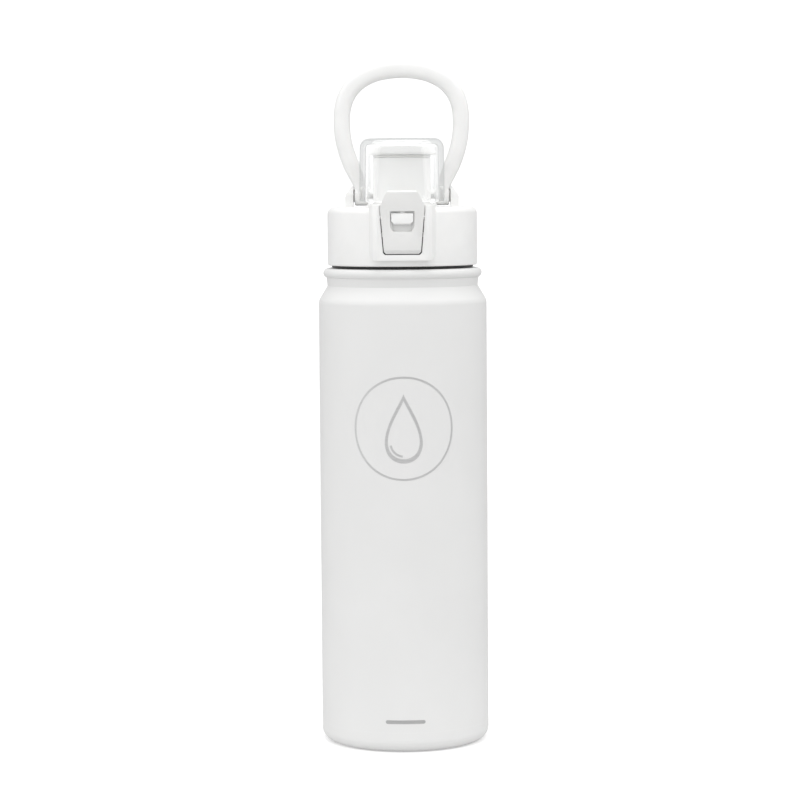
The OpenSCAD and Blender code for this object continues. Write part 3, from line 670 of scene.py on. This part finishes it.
    added = []
    for side in (-1, 1):
        x0, x1 = sorted((side * knuckle_in * MM, side * knuckle_out * MM))
        added.append(x_disc("knuckle", x0, x1, HINGE, knuckle_r * MM, PIN_BORE_R, 0.4 * MM))
    catch_top = hook_z - catch_gap
    added.append(block("catch", (-catch_half_w, low.y / MM, catch_top - catch_t),
                       (catch_half_w, catch_back_y, catch_top), 0.3))
    combine(shell, added)
    return dress(smooth(shell, 40), "hood")


def block(name, low, high, edge):
    """A box with rounded edges, with its corners in millimetres."""
    bm = bmesh.new()
    bmesh.ops.create_cube(bm, size=1.0)
    low, high = Vector(low) * MM, Vector(high) * MM
    size = high - low
    for v in bm.verts:
        share = v.co + Vector((0.5, 0.5, 0.5))
        v.co = low + Vector((share.x * size.x, share.y * size.y, share.z * size.z))
    bmesh.ops.bevel(bm, geom=list(bm.edges), offset=edge * MM, segments=3, profile=0.5,
                    affect="EDGES")
    return mesh_object(name, bm)


# ---------------------------------------------------------------- carry loop

def build_loop():
    """Carry loop: a soft oval strap that narrows to two eyes on the hinge pin."""
    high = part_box("carry_loop")[1]
    thick = 7.3 * MM
    deep = 9.0 * MM
    eye_in, eye_out = 15 * MM, 21 * MM
    eye_r, pilot_r = 4.4 * MM, 0.4 * MM
    half_w = high.x - thick / 2
    leg_share = 0.7
    crown_gain = 0.12
    top = high.z - thick * (1 + crown_gain) / 2
    wide_share = 0.572
    wide = HINGE.z + (high.z - HINGE.z) * wide_share
    eye_x = (eye_in + eye_out) / 2
    start = HINGE.z + 0.8 * MM

    def at(x, z):
        return Vector((x, HINGE.y, z))

    # Control points of the two curves, one up the leg and one over the crown
    leg = [at(eye_x, start), at(eye_x + 0.6 * MM, HINGE.z + 9 * MM),
           at(half_w + 0.85 * MM, HINGE.z + 17.5 * MM), at(half_w, wide)]
    crown = [leg[3], at(half_w, wide + 14.2 * MM), at(half_w * 0.61, top), at(0, top)]
    steps = 34
    half = [bezier(leg, i / steps) for i in range(steps)]
    half += [bezier(crown, i / steps) for i in range(steps + 1)]
    path = half + [Vector((-p.x, p.y, p.z)) for p in reversed(half[:-1])]
    corners = 32
    squareness = 0.72
    taper = 12 * MM

    def section(i):
        """Rounded outline, narrow at the eyes and full at the crown."""
        grow = leg_share + (1 - leg_share) * min(1.0, (path[i].z - start) / taper)
        grow += crown_gain * max(0.0, (path[i].z - wide) / (top - wide))
        points = []
        for k in range(corners):
            a = math.tau * k / corners
            c, s = math.cos(a), math.sin(a)
            points.append((math.copysign(abs(c) ** squareness, c) * thick / 2 * grow,
                           math.copysign(abs(s) ** squareness, s) * deep / 2))
        return points

    rings = sweep_rings(path, section, Vector((0, 1, 0)))
    strap = mesh_object("carry_loop_moulding", rings_mesh(rings))
    eyes = []
    for side in (-1, 1):
        x0, x1 = sorted((side * eye_in, side * eye_out))
        eyes.append(x_disc("eye", x0, x1, HINGE, eye_r, pilot_r, 0.5 * MM))
    combine(strap, eyes)
    bores = []
    for side in (-1, 1):
        x0, x1 = sorted((side * (eye_in - 2 * MM), side * (eye_out + 2 * MM)))
        bores.append(x_disc("bore", x0, x1, HINGE, PIN_BORE_R, 0.0, 0.1 * MM))
    combine(strap, bores, "DIFFERENCE")
    blend_surface(strap, 0.32 * MM, 8)
    return dress(smooth(strap, 60), "carry_loop")


def blend_surface(piece, voxel, passes):
    """Remeshes the piece and relaxes it, which blends its parts as a mould does."""
    remesh = piece.modifiers.new("remesh", "REMESH")
    remesh.mode = "VOXEL"
    remesh.voxel_size = voxel
    remesh.use_smooth_shade = True
    relax = piece.modifiers.new("relax", "SMOOTH")
    relax.factor = 0.5
    relax.iterations = passes
    return bake(piece)


# ---------------------------------------------------------------- hood spring

def build_spring():
    """Torsion spring: round wire in a close coil on the hinge pin, with two straight legs."""
    wire_r = 0.4 * MM
    coil_r = 2.4 * MM
    half = 2.6 * MM
    turns = 5.5
    leg = 7.5 * MM
    per_turn = 48
    steps = int(turns * per_turn)
    coil = []
    for i in range(steps + 1):
        a = math.radians(270 - 360 * i / per_turn)
        coil.append(Vector((-half + 2 * half * i / steps, HINGE.y + coil_r * math.cos(a),
                            HINGE.z + coil_r * math.sin(a))))
    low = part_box("hood_spring")[0].z + wire_r
    first = Vector((coil[0].x, coil[0].y - leg, low))
    last = coil[-1] + Vector((0, -leg, 0))
    corners = 14
    angles = [math.tau * k / corners for k in range(corners)]
    circle = [(wire_r * math.cos(a), wire_r * math.sin(a)) for a in angles]
    path = [first] + coil + [last]
    rings = sweep_rings(path, lambda i: circle, Vector((1, 0, 0)))
    wire = mesh_object("hood_spring_wire", rings_mesh(rings))
    return dress(smooth(wire, 50), "hood_spring")


# ---------------------------------------------------------------- plain etched marks

def wrapped(u, v, lift, z_mid):
    """A point of a flat drawing (u across, v up) laid on the front of the bottle."""
    a = u / BODY_R
    r = BODY_R + lift
    return (r * math.sin(a), -r * math.cos(a), z_mid + v)


def etched_band(name, outer, inner, z_mid, closed=True, look="pale_etch"):
    """A thin inlay between two lines of points that run side by side."""
    proud, sunk = 0.015 * MM, -0.06 * MM
    rings = []
    for (ua, va), (ub, vb) in zip(outer, inner):
        rings.append([wrapped(ua, va, proud, z_mid), wrapped(ub, vb, proud, z_mid),
                      wrapped(ub, vb, sunk, z_mid), wrapped(ua, va, sunk, z_mid)])
    piece = mesh_object(name, rings_mesh(rings, closed_row=closed))
    piece.data.materials.append(MATERIALS[look])
    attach(piece, "bottle")
    return piece


def offset_line(points, distance, closed):
    """The line of points moved sideways by a distance."""
    moved = []
    count = len(points)
    for i in range(count):
        ahead = points[(i + 1) % count] if closed else points[min(i + 1, count - 1)]
        behind = points[i - 1] if closed else points[max(i - 1, 0)]
        along = (Vector(ahead) - Vector(behind)).normalized()
        moved.append((points[i][0] - along.y * distance, points[i][1] + along.x * distance))
    return moved


def build_marks():
    """A plain ring round a water drop, and a short plain bar low on the body."""
    mark_share = 0.469
    mark_z = mark_share * (CAD_BOX[1].z - CAD_BOX[0].z)
    stroke = 0.9 * MM
    ring_r = 22.5 * MM
    ring_steps = 160
    angles = [math.tau * k / ring_steps for k in range(ring_steps)]
    ring = [(ring_r * math.cos(a), ring_r * math.sin(a)) for a in angles]
    etched_band("etched_ring", ring, offset_line(ring, stroke, True), mark_z)
    drop = []
    drop_w, drop_half_h = 11.5 * MM, 15 * MM
    slimness = 1.4
    drop_steps = 120
    for k in range(drop_steps):
        t = math.tau * k / drop_steps
        drop.append((drop_w * math.sin(t) * abs(math.sin(t / 2)) ** slimness,
                     drop_half_h * math.cos(t)))
    inner_share, inner_drop = 0.84, 0.5 * MM
    inside = [(x * inner_share, y * inner_share - inner_drop) for x, y in drop]
    etched_band("etched_drop", drop, inside, mark_z)
    glint_r = 6.2 * MM
    glint = arc((0, -glint_r), glint_r, 190, 265, 24)
    etched_band("etched_glint", glint, offset_line(glint, stroke, False), mark_z, closed=False)
    bar_z = 13.8 * MM
    bar_half, bar_r = 8.7 * MM, 0.8 * MM
    straight = bar_half - bar_r
    steps = 20
    upper = arc((straight, 0), bar_r, 0, 90, 8)
    upper += [(straight * (1 - 2 * k / steps), bar_r) for k in range(1, steps)]
    upper += arc((-straight, 0), bar_r, 90, 180, 8)
    lower = [(x, -y) for x, y in upper]
    etched_band("etched_bar", upper[1:-1], lower[1:-1], bar_z, closed=False, look="laser_etch")


# ---------------------------------------------------------------- stage, light and camera

def build_stage():
    """A plain white floor that sweeps up behind the bottle."""
    half_w = 2.5
    front, sweep_start, sweep_r, wall_top = -2.2, 0.9, 0.6, 2.6
    profile = [(front, 0.0), (sweep_start, 0.0)]
    profile += [(sweep_start + y, z) for y, z in arc((0, sweep_r), sweep_r, -90, 0, 24)]
    profile += [(sweep_start + sweep_r, wall_top)]
    bm = bmesh.new()
    rows = [[bm.verts.new((x, y, z)) for x in (-half_w, half_w)] for y, z in profile]
    for low, high in zip(rows, rows[1:]):
        bm.faces.new((low[0], low[1], high[1], high[0]))
    floor = mesh_object("floor", bm)
    smooth(floor, 60)
    material, tree, output = new_material("floor_paper")
    coords = object_coords(tree)
    fibre = noise(tree, coords, 0.6 * MM, 3.0, 0.6)
    seen = add(tree, "ShaderNodeLightPath").outputs["Is Camera Ray"]
    from_foot = add(tree, "ShaderNodeVectorMath", {0: coords}, operation="LENGTH")
    near = ramp(tree, from_foot.outputs["Value"], NEAR_FLOOR, FAR_FLOOR, FOOT_GLOW, 0.0)
    glow = add(tree, "ShaderNodeMix", {"Factor": seen, "A": near, "B": FLOOR_GLOW}).outputs["Result"]
    paper = add(tree, "ShaderNodeBsdfPrincipled", {
        "Base Color": mix_colour(tree, seen, FLOOR_BOUNCE, FLOOR_WHITE),
        "Roughness": 0.85,
        "Specular IOR Level": 0.1,
        "Emission Color": (1.0, 1.0, 1.0, 1.0),
        "Emission Strength": glow,
        "Normal": bump(tree, fibre, 0.02 * MM),
    })
    tree.links.new(paper.outputs[0], output.inputs["Surface"])
    floor.data.materials.append(material)


def build_world():
    """Soft white surroundings, brighter overhead than below, and white to the camera."""
    world = bpy.data.worlds.new("studio")
    bpy.context.scene.world = world
    world.use_nodes = True
    tree = world.node_tree
    tree.nodes.clear()
    direction = add(tree, "ShaderNodeTexCoord").outputs["Generated"]
    height = add(tree, "ShaderNodeSeparateXYZ", {0: direction}).outputs["Z"]
    level = ramp(tree, height, -0.2, 1.0, WORLD_LOW, WORLD_HIGH)
    path = add(tree, "ShaderNodeLightPath").outputs["Is Camera Ray"]
    seen = math_node(tree, "MAXIMUM", level, path)
    white = (1.0, 1.0, 1.0, 1.0)
    background = add(tree, "ShaderNodeBackground", {"Color": white, "Strength": seen})
    output = add(tree, "ShaderNodeOutputWorld")
    tree.links.new(background.outputs[0], output.inputs["Surface"])


def softbox(name, place, aim, width, height, power, mirrored=True):
    """A soft rectangular light; one that isn't mirrored leaves no highlight."""
    light = bpy.data.lights.new(name, "AREA")
    light.shape = "RECTANGLE"
    light.size = width
    light.size_y = height
    light.energy = power
    lamp = bpy.data.objects.new(name, light)
    bpy.context.scene.collection.objects.link(lamp)
    lamp.location = place
    lamp.visible_glossy = mirrored
    lamp.rotation_mode = "QUATERNION"
    lamp.rotation_quaternion = (Vector(aim) - Vector(place)).to_track_quat("-Z", "Y")


def build_lights():
    """A light on each side, one overhead and a plain one in front."""
    middle = (CAD_BOX[0] + CAD_BOX[1]) / 2
    softbox("key_softbox", (1.1, -0.6, 1.1), middle, 0.9, 1.1, 4.0)
    softbox("fill_softbox", (-1.2, -0.5, 0.8), middle, 0.9, 1.1, 3.8)
    softbox("top_softbox", (0.0, -0.1, 1.5), middle, 0.9, 0.9, 4.4)
    softbox("front_softbox", (0.0, -1.5, 0.8), middle, 1.3, 0.8, 2.4, mirrored=False)


def build_camera():
    """Long lens, level with the top of the lid and tilted down to the middle of the bottle."""
    middle_z = (CAD_BOX[0].z + CAD_BOX[1].z) / 2
    height = CAD_BOX[1].z - CAD_BOX[0].z
    distance = 1.2
    eye_height = 0.245
    shift = -1.5 * MM
    aim_lift = 0.2 * MM
    # Share of the picture's height that the bottle fills
    frame_share = 0.8512
    roll = math.radians(0.4)
    data = bpy.data.cameras.new("camera")
    camera = bpy.data.objects.new("camera", data)
    bpy.context.scene.collection.objects.link(camera)
    target = Vector((shift, 0.0, middle_z + aim_lift))
    camera.location = (shift, -distance, eye_height)
    view = target - camera.location
    data.sensor_width = 36.0
    data.angle = 2 * math.atan(height / frame_share / 2 / view.length)
    data.clip_start = 0.05
    data.clip_end = 20.0
    look = view.to_track_quat("-Z", "Y").to_matrix().to_4x4()
    camera.matrix_world = Matrix.Translation(camera.location) @ look @ Matrix.Rotation(-roll, 4, "Z")
    bpy.context.scene.camera = camera


def set_colour():
    """Plain display colours, with no film look."""
    view = bpy.context.scene.view_settings
    view.view_transform = "Standard"
    view.look = "None"
    view.exposure = 0.0
    view.gamma = 1.0


# ---------------------------------------------------------------- build

# Nodes whose edges are rounded, with the radius in millimetres
ROUNDED = {
    "lid_cover": 0.45,
    "latch": 0.32,
    "lock_slide": 0.22,
    "lid_core": 0.2,
    "lid_core_plate": 0.2,
    "spout": 0.2,
    "seal_carrier": 0.3,
    "spout_plug": 0.2,
    "loop_washers": 0.12,
    "hinge_pin": 0.2,
    "latch_pins": 0.12,
}

for node_name, width_mm in ROUNDED.items():
    refined(node_name, width_mm * MM)

build_hood()
build_loop()
build_spring()
build_marks()

REPLACED = {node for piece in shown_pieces() for node in piece.get("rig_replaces", [])}
for node_name in frame["nodes"]:
    if node_name not in REPLACED:
        carried_over(node_name)

build_stage()
build_world()
build_lights()
build_camera()
set_colour()

bpy.context.view_layer.update()
